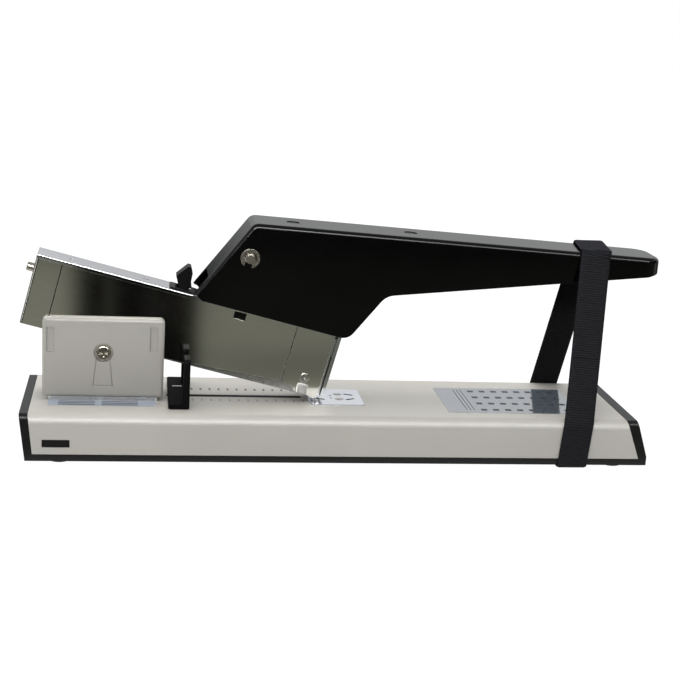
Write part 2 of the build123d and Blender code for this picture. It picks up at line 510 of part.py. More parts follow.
with BuildPart() as handle_shell:
    lever = [
        HANDLE_FRONT_TOP,
        HANDLE_FRONT_LOW,
        (50.6, 83.6),
        (129.0, 64.3),
        (148.4, 88.7),
        (293.0, 102.9),
        (HANDLE_TIP, 104.6),
        (HANDLE_TIP, TIP_TOP),
    ]
    rounded(side, lever, [5.0, 0, 0, 7.0, 10.0, 0, 0, 0], -HANDLE_HALF, HANDLE_HALF)
    with BuildSketch(floor) as plan:
        with Locations((HANDLE_TIP - 180, 0)):
            RectangleRounded(360, 2 * HANDLE_HALF, 9.0)
    extrude(plan.sketch, amount=200, mode=Mode.INTERSECT)
    crown = handle_shell.faces().sort_by(lambda f: f.normal_at().dot(lid.z_dir))[-1]
    fillet(crown.edges(), 2.6)
    add(handle_hollow.part, mode=Mode.SUBTRACT)
    notch = [web_point(-8, -3), web_point(11, -3), web_point(11, 4), web_point(-8, 4)]
    plate(side, notch, -10.5, 10.5, Mode.SUBTRACT)
    disc(side, (PIN_X, PIN_Z), PIN_RADIUS + FIT, -20, 20, Mode.SUBTRACT)
    for station in HANDLE_HOLES:
        disc(lid, ((station - HANDLE_FRONT_TOP[0]) / LID_X, 0), 3.6, -5, 5, Mode.SUBTRACT)

CEILING = -HANDLE_WALL - FIT

with BuildPart() as drive_bracket:
    rounded(lid, box(12, 98, -11, 11), 3.0, CEILING - 2.0, CEILING)
    ear = [
        (DRIVE_X - 7, DRIVE_Z),
        (DRIVE_X + 7, DRIVE_Z),
        (DRIVE_X + 22, HANDLE_FRONT_TOP[1] - 7.5),
        (DRIVE_X - 22, HANDLE_FRONT_TOP[1] - 5.5),
    ]
    pair(side, ear, 9.0, 10.5)
    discs(side, (DRIVE_X, DRIVE_Z), 7.0, 9.0, 10.5)
    disc(side, (DRIVE_X, DRIVE_Z), DRIVE_RADIUS + 0.02, -20, 20, Mode.SUBTRACT)
    for station in HANDLE_HOLES:
        disc(lid, ((station - HANDLE_FRONT_TOP[0]) / LID_X, 0), 2.1, -8, 0, Mode.SUBTRACT)

with BuildPart() as handle_rivets:
    for station in HANDLE_HOLES:
        spot = ((station - HANDLE_FRONT_TOP[0]) / LID_X, 0)
        disc(lid, spot, 3.45, CEILING, -0.4)
        disc(lid, spot, 2.0, CEILING - 2.0, CEILING)
        disc(lid, spot, 3.0, CEILING - 3.4, CEILING - 2.0)

with BuildPart() as drive_pin:
    disc(side, (DRIVE_X, DRIVE_Z), DRIVE_RADIUS, -11.6, 11.6)
    chamfer(drive_pin.faces().filter_by(Axis.Y).edges(), 0.4)

# Driver: carrier on the drive pin, blade in front of the staples

CARRIER_LOW, CARRIER_HIGH = 50.0, 64.5
BLADE_TOP = 51.8

with BuildPart() as driver_carrier:
    rounded(head, box(107.5, 123.5, CARRIER_LOW, CARRIER_HIGH), 3.0, -8.2, 8.2)
    plate(head, box(113, 122.5, 45, 52), -8.2, 8.2)
    slot(head, (DRIVE_U - 0.15, DRIVE_V), 10.4, 2 * (DRIVE_RADIUS + DRIVE_PLAY), 0, -20, 20)
    plate(head, box(BLADE_U - FIT, BLADE_U + BLADE_THICK + FIT, 40, BLADE_TOP + FIT), -BLADE_HALF - FIT, BLADE_HALF + FIT, Mode.SUBTRACT)
    disc(nose, (-3.2, 48.0), 1.3, 100, 130, Mode.SUBTRACT)
    disc(nose, (3.2, 48.0), 1.3, 100, 130, Mode.SUBTRACT)

with BuildPart() as driver_blade:
    plate(head, box(BLADE_U, BLADE_U + BLADE_THICK, 3.8, BLADE_TOP), -BLADE_HALF, BLADE_HALF)
    disc(nose, (-3.2, 48.0), 1.3, 100, 130, Mode.SUBTRACT)
    disc(nose, (3.2, 48.0), 1.3, 100, 130, Mode.SUBTRACT)

with BuildPart() as driver_rivets:
    for y in (-3.2, 3.2):
        disc(nose, (y, 48.0), 1.25, 112.9, 122.6)
        disc(nose, (y, 48.0), 2.0, 122.6, 123.3)

# Paper guide in the slot of the base cover

with BuildPart() as paper_guide:
    guide_low = BASE_TOP + RUN
    rounded(floor, box(34.3, 45.3, -25.7, 25.7), 1.5, guide_low, guide_low + 2.5)
    fence = [(13.2, guide_low + 1), (25.7, guide_low + 1), (25.7, AXLE_Z + 0.5), (13.2, AXLE_Z + 0.5)]
    for wing in (1, -1):
        outline = [(wing * y, z) for y, z in fence]
        rounded(Plane(origin=(AXLE_X, 0, 0), x_dir=(0, 1, 0), z_dir=(1, 0, 0)), outline, [0, 0, 2.0, 2.0], 42.1, 45.3)
    plate(floor, box(36.9, 42.1, 7.4, 8.6), 20, 40, Mode.SUBTRACT)
    plate(floor, box(35.8, 43.8, RUN - SLOT_WIDE / 2, SLOT_WIDE / 2 - RUN), BASE_TOP - SHEET - RUN, guide_low + 1)
    disc(floor, (39.8, 0), 1.3, 20, guide_low + 1.5, Mode.SUBTRACT)

with BuildPart() as guide_slider:
    slider_top = BASE_TOP - SHEET - RUN
    rounded(floor, box(34.3, 45.3, -8, 8), 1.5, slider_top - 2.5, slider_top)
    disc(floor, (39.8, 0), 1.4, 10, 40, Mode.SUBTRACT)

with BuildPart() as guide_screw:
    disc(floor, (39.8, 0), 2.8, slider_top - 4.3, slider_top - 2.5)
    disc(floor, (39.8, 0), 1.25, slider_top - 2.5, guide_low + 1.4)

# Elastic strap that holds the handle down, in a plane that leans with it

STRAP_WIDE, STRAP_THICK, STRAP_X = 16.4, 1.2, 252.8
STRAP_TOP = HANDLE_FRONT_TOP[1] - (264.6 - HANDLE_FRONT_TOP[0]) * slope
LEAN = math.atan((264.6 - STRAP_X) / STRAP_TOP)
LOOP = Plane(origin=(AXLE_X + STRAP_X, 0, 0), x_dir=(0, 1, 0), z_dir=(math.cos(LEAN), 0, -math.sin(LEAN)))


def strap_loop(grow, mode):
    rise = 1 / math.cos(LEAN)
    side_y = BASE_HALF + SEAT + grow
    top_y = HANDLE_HALF + SEAT + grow
    low = (BASE_LOW - SEAT - grow) * rise
    high = (STRAP_TOP + 0.6 + grow) * rise
    points = [(side_y, low), (side_y, 25 * rise), (top_y, high), (-top_y, high), (-side_y, 25 * rise), (-side_y, low)]
    radii = [0.3 + grow, 8.0, 1.0 + grow, 1.0 + grow, 8.0, 0.3 + grow]
    with BuildSketch(LOOP) as face:
        with BuildLine():
            FilletPolyline(*points, radius=radii, close=True)
        make_face()
    extrude(face.sketch, amount=STRAP_WIDE / 2, dir=(1, 0, 0), both=True, mode=mode)


with BuildPart() as elastic_strap:
    strap_loop(STRAP_THICK, Mode.ADD)
    strap_loop(0, Mode.SUBTRACT)

pieces = {
    "base_tray": base_tray,
    "base_cover": base_cover,
    "rubber_feet": rubber_feet,
    "tray_screws": tray_screws,
    "bracket_stand": bracket_stand,
    "anvil_stand": anvil_stand,
    "anvil_plate": anvil_plate,
    "anvil_screws": anvil_screws,
    "pivot_bracket": pivot_bracket,
    "bracket_screws": bracket_screws,
    "pivot_axle": pivot_axle,
    "side_cover_near": side_cover_near,
    "side_cover_far": side_cover_far,
    "cover_screws": cover_screws,
    "head_lift_spring": head_lift_spring,
    "magazine_housing": magazine_housing,
    "top_plate": top_plate,
    "hinge_frame": hinge_frame,
    "hinge_bushes": hinge_bushes,
    "follower_cap": follower_cap,
    "follower_rod": follower_rod,
    "pusher_spring": pusher_spring,
    "staple_pusher": staple_pusher,
    "staple_channel": staple_channel,
    "staple_core": staple_core,
    "staple_strip": staple_strip,
    "nose_housing": nose_housing,
    "nose_rivets": nose_rivets,
    "front_plate": front_plate,
    "latch_bezel": latch_bezel,
    "latch_lever": latch_lever,
    "latch_pin": latch_pin,
    "handle_bracket": handle_bracket,
    "bracket_rivets": bracket_rivets,
    "pin_spacers": pin_spacers,
    "handle_pin": handle_pin,
    "pin_clips": pin_clips,
    "handle_return_spring": handle_return_spring,
    "handle_shell": handle_shell,
    "drive_bracket": drive_bracket,
    "handle_rivets": handle_rivets,
    "drive_pin": drive_pin,
    "driver_carrier": driver_carrier,
    "driver_blade": driver_blade,
    "driver_rivets": driver_rivets,
    "paper_guide": paper_guide,
    "guide_slider": guide_slider,
    "guide_screw": guide_screw,
    "elastic_strap": elastic_strap,
}
for name, piece in pieces.items():
    piece.part.label = name
    export_step(piece.part, f"parts/{name}.step")
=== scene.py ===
import math

import bmesh
import bpy
from mathutils import Matrix, Vector


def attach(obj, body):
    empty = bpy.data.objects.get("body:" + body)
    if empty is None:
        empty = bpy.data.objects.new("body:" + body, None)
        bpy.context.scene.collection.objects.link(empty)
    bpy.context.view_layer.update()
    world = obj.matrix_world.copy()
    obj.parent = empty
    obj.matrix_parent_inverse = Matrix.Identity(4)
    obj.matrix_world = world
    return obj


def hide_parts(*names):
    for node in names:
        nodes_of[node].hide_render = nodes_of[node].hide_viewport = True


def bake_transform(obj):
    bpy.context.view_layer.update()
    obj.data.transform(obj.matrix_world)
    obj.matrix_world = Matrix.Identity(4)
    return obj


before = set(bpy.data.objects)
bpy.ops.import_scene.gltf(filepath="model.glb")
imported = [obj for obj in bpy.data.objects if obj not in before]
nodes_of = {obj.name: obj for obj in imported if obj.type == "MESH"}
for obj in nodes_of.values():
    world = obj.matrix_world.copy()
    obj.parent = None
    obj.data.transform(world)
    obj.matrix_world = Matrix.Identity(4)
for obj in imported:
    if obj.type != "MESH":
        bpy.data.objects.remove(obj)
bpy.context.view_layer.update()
scene = bpy.context.scene
scene.view_settings.view_transform = "Standard"

# Stations of the stapler, in metres: rear axle, tilt of the head, base cover with its long folds, anvil
AXLE_X, AXLE_Z = -0.128589, 0.0535
HEAD_TILT = math.radians(13.8)
BASE_TOP, BASE_HALF, BASE_FOLD = 0.027, 0.037, 0.0055
SLOT_HALF = 0.003
ANVIL_TOP = 0.0274
GROOVE_FLOOR, GROOVE_RIM = ANVIL_TOP - 0.0007, ANVIL_TOP - 0.0004

# Camera of the photograph
EYE = Vector((AXLE_X + 0.01759, -0.7083, 0.2484))
EYE_YAW, EYE_PITCH, EYE_ROLL = math.radians(8.796), math.radians(14.733), math.radians(3.438)
EYE_LENS, EYE_SENSOR = 71.67, 36.0


def photo_camera():
    forward = math.cos(EYE_PITCH)
    ahead = Vector((math.sin(EYE_YAW) * forward, math.cos(EYE_YAW) * forward, -math.sin(EYE_PITCH)))
    level = Vector((math.cos(EYE_YAW), -math.sin(EYE_YAW), 0))
    upright = level.cross(ahead)
    right = math.cos(EYE_ROLL) * level + math.sin(EYE_ROLL) * upright
    up = -math.sin(EYE_ROLL) * level + math.cos(EYE_ROLL) * upright
    data = bpy.data.cameras.new("photo_camera")
    data.sensor_fit = "HORIZONTAL"
    data.sensor_width = EYE_SENSOR
    data.lens = EYE_LENS
    data.clip_start = 0.01
    camera = bpy.data.objects.new("photo_camera", data)
    turn = Matrix((right, up, -ahead)).transposed().to_4x4()
    camera.matrix_world = Matrix.Translation(EYE) @ turn
    scene.collection.objects.link(camera)
    scene.camera = camera


# Material building blocks


class Wiring:
    """A shader tree, with helpers that add, set and join its nodes."""

    def __init__(self, tree):
        self.tree = tree

    def add(self, kind, **settings):
        node = self.tree.nodes.new(kind)
        for name, value in settings.items():
            setattr(node, name, value)
        return node

    def link(self, output, socket):
        self.tree.links.new(output, socket)

    def maths(self, first, second, how="ADD"):
        joined = self.add("ShaderNodeMath", operation=how)
        for value, socket in zip((first, second), joined.inputs):
            if isinstance(value, (int, float)):
                socket.default_value = value
            else:
                self.link(value, socket)
        return joined.outputs[0]

    def times(self, first, second):
        return self.maths(first, second, "MULTIPLY")

    def size_of(self, value):
        return self.maths(value, 0.0, "ABSOLUTE")

    def span(self, value, low, high, start=0.0, end=1.0):
        """A smooth step from low, where the value is start, to high, where it is end."""
        fitted = self.add("ShaderNodeMapRange", interpolation_type="SMOOTHSTEP")
        limits = {"From Min": start, "From Max": end, "To Min": low, "To Max": high}
        for socket, number in limits.items():
            fitted.inputs[socket].default_value = number
        self.link(value, fitted.inputs["Value"])
        return fitted.outputs["Result"]

    def noise(self, where, scale, detail=3.0, rough=0.55, warp=0.0):
        texture = self.add("ShaderNodeTexNoise")
        settings = {"Scale": scale, "Detail": detail, "Roughness": rough, "Distortion": warp}
        for socket, number in settings.items():
            texture.inputs[socket].default_value = number
        self.link(where, texture.inputs["Vector"])
        return texture.outputs["Fac"]

    def axes(self):
        """X, Y and Z of the place on the piece."""
        where = self.add("ShaderNodeTexCoord")
        parts = self.add("ShaderNodeSeparateXYZ")
        self.link(where.outputs["Object"], parts.inputs[0])
        return parts.outputs


def new_material(name):
    material = bpy.data.materials.new(name)
    material.use_nodes = True
    return material


def dimmed(tone, share):
    return tuple(c * share for c in tone)


class Finish(Wiring):
    """A surface: one Principled shader and the textures that feed it."""

    def __init__(self, name, **sockets):
        self.material = new_material(name)
        super().__init__(self.material.node_tree)
        self.shader = self.tree.nodes["Principled BSDF"]
        for socket, value in sockets.items():
            self.shader.inputs[socket.replace("_", " ")].default_value = value

    def feed(self, output, socket):
        self.link(output, self.shader.inputs[socket])

    def place(self, scale=(1, 1, 1), turn=(0, 0, 0), source="Object"):
        where = self.add("ShaderNodeTexCoord")
        fitted = self.add("ShaderNodeMapping", vector_type="TEXTURE")
        fitted.inputs["Rotation"].default_value = turn
        fitted.inputs["Scale"].default_value = [1 / s for s in scale]
        self.link(where.outputs[source], fitted.inputs["Vector"])
        return fitted.outputs["Vector"]

    def bands(self, where, scale, warp=0.0):
        wave = self.add("ShaderNodeTexWave", wave_type="BANDS", bands_direction="X")
        wave.inputs["Scale"].default_value = scale
        wave.inputs["Distortion"].default_value = warp
        self.link(where, wave.inputs["Vector"])
        return wave.outputs["Fac"]

    def ramp(self, value, dark, light, start=0.3, end=0.7):
        colours = self.add("ShaderNodeValToRGB")
        first, last = colours.color_ramp.elements
        first.position, last.position = start, end
        first.color, last.color = (*dark, 1), (*light, 1)
        self.link(value, colours.inputs["Fac"])
        return colours.outputs["Color"]

    def mix(self, share, first, second):
        blended = self.add("ShaderNodeMix", data_type="RGBA")
        self.link(share, blended.inputs["Factor"])
        spots = [s for s in blended.inputs if s.type == "RGBA"]
        for colour, spot in zip((first, second), spots):
            if isinstance(colour, tuple):
                spot.default_value = (*colour, 1)
            else:
                self.link(colour, spot)
        return [s for s in blended.outputs if s.type == "RGBA"][0]

    def rounded(self, radius):
        """Facing with the sharp edges rounded by the radius."""
        soft = self.add("ShaderNodeBevel", samples=4)
        soft.inputs["Radius"].default_value = radius
        return soft.outputs["Normal"]

    def edges(self, radius):
        """1 along sharp edges and 0 on open faces."""
        flat = self.add("ShaderNodeNewGeometry")
        agree = self.add("ShaderNodeVectorMath", operation="DOT_PRODUCT")
        self.link(self.rounded(radius), agree.inputs[0])
        self.link(flat.outputs["Normal"], agree.inputs[1])
        return self.span(agree.outputs["Value"], 1.0, 0.0, 0.80, 0.995)

    def fold_normal(self):
        """Facing of the base cover: flat on its top and sides, turning evenly round the two long folds."""
        y, z = self.axes()[1:]
        out = self.maths(self.size_of(y), BASE_HALF - BASE_FOLD, "SUBTRACT")
        up = self.maths(z, BASE_TOP - BASE_FOLD, "SUBTRACT")
        turned = self.add("ShaderNodeCombineXYZ")
        self.link(self.times(out, self.maths(y, 0.0, "SIGN")), turned.inputs["Y"])
        self.link(up, turned.inputs["Z"])
        in_fold = self.times(self.maths(out, 0.0, "GREATER_THAN"), self.maths(up, 0.0, "GREATER_THAN"))
        flat = self.add("ShaderNodeNewGeometry")
        unit = self.add("ShaderNodeVectorMath", operation="NORMALIZE")
        self.link(turned.outputs["Vector"], unit.inputs[0])
        facing = self.add("ShaderNodeMix", data_type="VECTOR")
        self.link(in_fold, facing.inputs["Factor"])
        ends = [s for s in facing.inputs if s.type == "VECTOR" and s.name in ("A", "B")]
        self.link(flat.outputs["True Normal"], ends[0])
        self.link(unit.outputs["Vector"], ends[1])
        return [s for s in facing.outputs if s.type == "VECTOR"][0]

    def slot_painted_shade(self):
        """1 on the walls inside the guide slot, where the paint is darkened as painted shade."""
        y, z = self.axes()[1:]
        inner = self.maths(self.size_of(y), SLOT_HALF, "LESS_THAN")
        return self.times(inner, self.maths(z, BASE_TOP - 0.0001, "LESS_THAN"))

    def relief(self, height, strength, depth, facing=None):
        bump = self.add("ShaderNodeBump")
        bump.inputs["Strength"].default_value = strength
        bump.inputs["Distance"].default_value = depth
        self.link(height, bump.inputs["Height"])
        if facing:
            self.link(facing, bump.inputs["Normal"])
        self.feed(bump.outputs["Normal"], "Normal")


# Finishes of the stapler


def satin_paint():
    """Stone-coloured paint of the base cover, worn pale along its edges, with painted shade on the walls of the
    guide slot.
    """
    f = Finish("satin_paint", Specular_IOR_Level=0.62)
    where = f.place()
    speck = f.noise(where, 2600, detail=2)
    colour = f.ramp(f.noise(where, 18, detail=2), (0.468, 0.449, 0.408), (0.498, 0.478, 0.437))
    worn = f.times(f.edges(0.0012), f.noise(where, 240, detail=4))
    painted = f.mix(f.span(worn, 0.0, 0.35, 0.25, 0.7), colour, (0.66, 0.65, 0.62))
    # The walls of the guide slot are coloured near black: painted shade.
    f.feed(f.mix(f.slot_painted_shade(), painted, (0.03, 0.03, 0.03)), "Base Color")
    f.feed(f.span(speck, 0.42, 0.50), "Roughness")
    skin = f.maths(f.noise(where, 700), f.times(speck, 0.35))
    f.relief(skin, 0.05, 0.00006, f.fold_normal())
    return f.material


def moulded_beige():
    """Grained plastic of the side covers."""
    f = Finish("moulded_beige", Specular_IOR_Level=0.45)
    where = f.place()
    drift = f.noise(where, 30, detail=2)
    grain = f.noise(where, 4200, detail=2, rough=0.6)
    f.feed(f.ramp(drift, (0.424, 0.407, 0.370), (0.450, 0.433, 0.395)), "Base Color")
    f.feed(f.span(grain, 0.34, 0.46), "Roughness")
    f.relief(grain, 0.12, 0.00005, f.rounded(0.0008))
    return f.material


def moulded_black(name, rough, shine, grain_scale, grain_strength, tone):
    """Black plastic with a fine grain and scuffed edges."""
    f = Finish(name, Specular_IOR_Level=shine)
    where = f.place()
    grain = f.noise(where, grain_scale, rough=0.6)
    scuff = f.times(f.edges(0.0006), f.noise(where, 300, detail=4))
    base = f.ramp(f.noise(where, 45), (tone * 0.8,) * 3, (tone * 1.2, tone * 1.2, tone * 1.25))
    f.feed(f.mix(f.span(scuff, 0.0, 0.4, 0.4, 0.8), base, (tone * 4,) * 3), "Base Color")
    f.feed(f.span(grain, rough - 0.06, rough + 0.06), "Roughness")
    f.relief(grain, grain_strength, 0.00008, f.rounded(0.0004))
    return f.material


def gloss_enamel():
    """Black enamel of the handle: faint peel, smears and dust."""
    f = Finish("gloss_enamel", Specular_IOR_Level=0.25)
    where = f.place()
    peel = f.noise(where, 380, detail=2)
    smear = f.noise(f.place((1, 1, 2.5)), 26, detail=5, rough=0.6, warp=0.6)
    dust = f.noise(where, 5200, detail=1)
    colour = f.ramp(f.noise(where, 30, detail=2), (0.0010, 0.0010, 0.0012), (0.0018, 0.0018, 0.0020))
    rub = f.times(f.edges(0.0008), f.noise(where, 260, detail=4))
    f.feed(f.mix(f.span(rub, 0.0, 0.4, 0.45, 0.85), colour, (0.02, 0.02, 0.022)), "Base Color")
    f.feed(f.maths(f.span(smear, 0.10, 0.19), f.span(dust, 0.0, 0.05, 0.6, 0.8)), "Roughness")
    f.relief(peel, 0.008, 0.00008, f.rounded(0.0006))
    return f.material


def plated_sheet(name, tone, rough, wave, round_edge=0.00025):
    """Bright plated sheet steel: rolling streaks along the head, faint waviness, smudges."""
    f = Finish(name, Metallic=1.0)
    where = f.place()
    streak = f.noise(f.place((12, 260, 260), (0, HEAD_TILT, 0)), 6, detail=4, rough=0.6)
    fine = f.noise(where, 1500, rough=0.65)
    smudge = f.noise(where, 34, detail=5, rough=0.6, warp=0.4)
    shade = f.maths(f.times(streak, 0.6), f.times(fine, 0.4))
    f.feed(f.ramp(shade, dimmed(tone, 0.92), tone), "Base Color")
    f.feed(f.maths(f.span(smudge, rough - 0.02, rough + 0.04), f.span(fine, -0.01, 0.02)), "Roughness")
    swell = f.maths(f.noise(where, 16, detail=2), f.times(fine, 0.003))
    f.relief(swell, wave, 0.0012, f.rounded(round_edge) if round_edge else None)
    return f.material


def turned_steel(name, tone, rough):
    """Steel of pins, screws, clips and springs."""
    f = Finish(name, Metallic=1.0)
    where = f.place()
    fine = f.noise(where, 2200, rough=0.6)
    f.feed(f.ramp(f.noise(where, 140, detail=4), dimmed(tone, 0.82), tone), "Base Color")
    f.feed(f.span(fine, rough - 0.06, rough + 0.08), "Roughness")
    f.relief(fine, 0.08, 0.00004, f.rounded(0.0003))
    return f.material


def staple_wire():
    """A strip of glued staples: one line across the strip for each wire, with painted shade in the grooves
    between the wires.
    """
    f = Finish("staple_wire", Metallic=1.0)
    wires = f.bands(f.place(turn=(0, HEAD_TILT, 0)), 350.0)
    # The dark part of each band is painted shade in the groove between two wires.
    f.feed(f.ramp(wires, (0.30, 0.29, 0.27), (0.72, 0.71, 0.68), 0.05, 0.5), "Base Color")
    f.feed(f.span(f.noise(f.place(), 1800, detail=2), 0.24, 0.36), "Roughness")
    f.relief(wires, 0.4, 0.0002)
    return f.material


def ground_steel():
    """Anvil plate: fine grinding lines across it, with painted shade and a painted dark reflection in its
    grooves.
    """
    f = Finish("ground_steel", Metallic=1.0)
    lines = f.noise(f.place((25, 900, 25)), 5, detail=4, rough=0.65)
    shade = f.times(lines, f.noise(f.place(), 60))
    plate = f.ramp(shade, (0.76, 0.79, 0.84), (0.90, 0.92, 0.96), 0.1, 0.5)
    z = f.axes()[2]
    # Below the groove rim the colour goes near black: painted shade and painted dark reflection in the grooves.
    groove_painted_shade = f.span(z, 1.0, 0.0, GROOVE_FLOOR, GROOVE_RIM)
    f.feed(f.mix(groove_painted_shade, plate, (0.03, 0.03, 0.04)), "Base Color")
    f.feed(f.span(lines, 0.16, 0.28), "Roughness")
    f.relief(lines, 0.06, 0.00004)
    return f.material


def foot_rubber():
    f = Finish("foot_rubber", Specular_IOR_Level=0.35)
    grain = f.noise(f.place(), 2400)
    f.feed(f.ramp(grain, (0.012, 0.012, 0.012), (0.024, 0.024, 0.024)), "Base Color")
    f.feed(f.span(grain, 0.66, 0.82), "Roughness")
    f.relief(grain, 0.2, 0.00008, f.rounded(0.0004))
    return f.material


def woven_elastic():
    """Ribbed elastic: painted light along the tops of the ribs, painted shade between them and on the inner
    face, fine yarn along the band.
    """
    f = Finish("woven_elastic", Specular_IOR_Level=0.12, Sheen_Weight=0.04, Sheen_Roughness=0.4)
    where = f.place()
    fuzz = f.noise(where, 3200, rough=0.7)
    tufts = f.noise(where, 620, rough=0.7)
    yarn = f.bands(f.place(source="UV"), 7.0, 0.4)
    # The rib value paints light on the rib tops and shade between the ribs and on the inner face
    rib = f.add("ShaderNodeAttribute", attribute_name="rib").outputs["Fac"]
    weave = f.maths(f.times(rib, tufts), f.times(f.times(fuzz, yarn), 0.4))
    f.feed(f.ramp(weave, (0.0010, 0.0010, 0.0016), (0.0142, 0.0145, 0.0200), 0.08, 0.75), "Base Color")
    f.feed(f.span(fuzz, 0.62, 0.85), "Roughness")
    f.relief(f.maths(yarn, fuzz), 0.22, 0.00010)
    return f.material


def label_film(name, tint, shine, rough):
    """Label film: where it shines, it is dim in itself and mirrors what stands behind it."""
    f = Finish(name, Specular_IOR_Level=shine, Coat_Weight=0.9 * shine**2, Coat_Roughness=0.06)
    where = f.place()
    f.feed(f.ramp(f.noise(where, 55), dimmed(tint, 0.92), tint), "Base Color")
    f.feed(f.span(f.noise(where, 900, detail=2), rough, rough * 2), "Roughness")
    f.relief(f.noise(where, 120, detail=2), 0.04 * shine, 0.00004)
    return f.material


def printed_ink(name, tone):
    f = Finish(name, Specular_IOR_Level=0.15)
    patch = f.noise(f.place(), 1800)
    f.feed(f.ramp(patch, dimmed(tone, 0.85), tone), "Base Color")
    f.feed(f.span(patch, 0.35, 0.5), "Roughness")
    return f.material


PAINT = satin_paint()
BEIGE = moulded_beige()
TRAY = moulded_black("moulded_tray", 0.36, shine=0.28, grain_scale=2400, grain_strength=0.16, tone=0.0045)
BLACK = moulded_black("moulded_fittings", 0.38, shine=0.13, grain_scale=3000, grain_strength=0.08, tone=0.0036)
GUIDE = moulded_black("moulded_guide", 0.55, shine=0.02, grain_scale=3000, grain_strength=0.08, tone=0.0060)
ENAMEL = gloss_enamel()
SHELL = plated_sheet("plated_shell", (0.74, 0.735, 0.70), rough=0.09, wave=0.03)
FRONT = plated_sheet("plated_front", (0.70, 0.74, 0.77), rough=0.09, wave=0.03)
LID = plated_sheet("plated_lid", (0.72, 0.72, 0.75), rough=0.08, wave=0.03)
INNER = plated_sheet("plated_inner", (0.60, 0.60, 0.59), rough=0.26, wave=0.0, round_edge=0.0)
CHANNEL = plated_sheet("plated_channel", (0.36, 0.36, 0.36), rough=0.26, wave=0.0, round_edge=0.0)
STEEL = turned_steel("turned_steel", (0.62, 0.61, 0.58), rough=0.22)
CLIP = turned_steel("clip_steel", (0.50, 0.47, 0.40), rough=0.26)
WIRE = turned_steel("spring_wire", (0.42, 0.42, 0.43), rough=0.30)
STAPLES = staple_wire()
ANVIL = ground_steel()
RUBBER = foot_rubber()
ELASTIC = woven_elastic()

# Every node that isn't named here is an inner sheet-metal piece
FINISHES = {
    "base_tray": TRAY,
    "base_cover": PAINT,
    "rubber_feet": RUBBER,
    "anvil_plate": ANVIL,
    "anvil_screws": STEEL,
    "side_cover_near": BEIGE,
    "side_cover_far": BEIGE,
    "cover_screws": CLIP,
    "magazine_housing": SHELL,
    "follower_cap": SHELL,
    "nose_housing": SHELL,
    "front_plate": FRONT,
    "top_plate": LID,
    "staple_channel": CHANNEL,
    "staple_strip": STAPLES,
    "handle_shell": ENAMEL,
    "latch_lever": BLACK,
    "latch_bezel": BLACK,
    "paper_guide": GUIDE,
    "guide_slider": BLACK,
    "pin_clips": CLIP,
    "handle_pin": CLIP,
    "follower_rod": CLIP,
    "head_lift_spring": WIRE,
    "handle_return_spring": WIRE,
    "pusher_spring": WIRE,
    "nose_rivets": STEEL,
    "handle_rivets": TRAY,
    "elastic_strap": ELASTIC,
}


def dress_cad():
    for name, node in nodes_of.items():
        node.data.materials.clear()
        node.data.materials.append(FINISHES.get(name, INNER))


# Mesh helpers


def mesh_object(name, bm, material):
    mesh = bpy.data.meshes.new(name)
    bm.to_mesh(mesh)
    bm.free()
    mesh.materials.append(material)
    made = bpy.data.objects.new(name, mesh)
    scene.collection.objects.link(made)
    return made


def new_piece(name, bm, material, body):
    """A finished piece, attached to its body when it has one."""
    bmesh.ops.recalc_face_normals(bm, faces=bm.faces)
    piece = mesh_object(name, bm, material)
    if body:
        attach(piece, body)
    return piece


def close_round(bm, first, second):
    """Side faces between two rings of corners."""
    for i in range(len(first)):
        j = (i + 1) % len(first)
        bm.faces.new((first[i], first[j], second[j], second[i]))


# Elastic strap: one woven loop, cut at half height into two halves

STRAP_WIDE, STRAP_THICK = 0.0164, 0.0012
STRAP_COLUMNS = 14
RIB_PITCH, RIB_RISE = 0.00130, 0.00014
ROWS_PER_RIB = 4
# Share of the half width where the band's edge starts to thin, and how much of its thickness goes
EDGE_START, EDGE_THINNING = 0.86, 0.55
# Painted shade on the inner face of the band, stored in its rib value
INNER_FACE_PAINTED_SHADE = -0.4
WEAVE_ROW = 0.02
STRAP_MIDDLE_Z, STRAP_SEAM_Z = 0.055, 0.060
# Steps along each rounded corner of the loop
CORNER_STEPS = 8
# Corners of the loop as (Y, Z, station of its middle, corner radius)
STRAP_ROUTE = [
    (0.03768, 0.00112, 0.2532, 0.0012),
    (0.03772, 0.0250, 0.2564, 0.0100),
    (0.01640, 0.11340, 0.2669, 0.0030),
    (0.01560, 0.11640, 0.2674, 0.0015),
    (-0.01560, 0.11670, 0.2622, 0.0015),
    (-0.01640, 0.11360, 0.2616, 0.0030),
    (-0.03772, 0.0250, 0.2548, 0.0100),
    (-0.03768, 0.00112, 0.2531, 0.0012),
]


def rounded_loop(route, step):
    """Points of the closed route with its corners rounded, about one step apart, and its length."""
    corners = [Vector((AXLE_X + station, y, z)) for y, z, station, radius in route]
    outline = []
    for i, corner in enumerate(corners):
        back = corners[i - 1] - corner
        on = corners[(i + 1) % len(corners)] - corner
        half = back.angle(on) / 2
        reach = min(route[i][3] / math.tan(half), 0.45 * back.length, 0.45 * on.length)
        start, end = corner + back.normalized() * reach, corner + on.normalized() * reach
        for k in range(CORNER_STEPS + 1):
            t = k / CORNER_STEPS
            outline.append((1 - t) ** 2 * start + 2 * t * (1 - t) * corner + t**2 * end)
    lengths = [(outline[(i + 1) % len(outline)] - p).length for i, p in enumerate(outline)]
    total = sum(lengths)
    count = round(total / step)
    points, i, passed = [], 0, 0.0
    for k in range(count):
        target = k * total / count
        while passed + lengths[i] < target:
            passed += lengths[i]
            i += 1
        share = (target - passed) / lengths[i]
        points.append(outline[i].lerp(outline[(i + 1) % len(outline)], share))
    return points, total


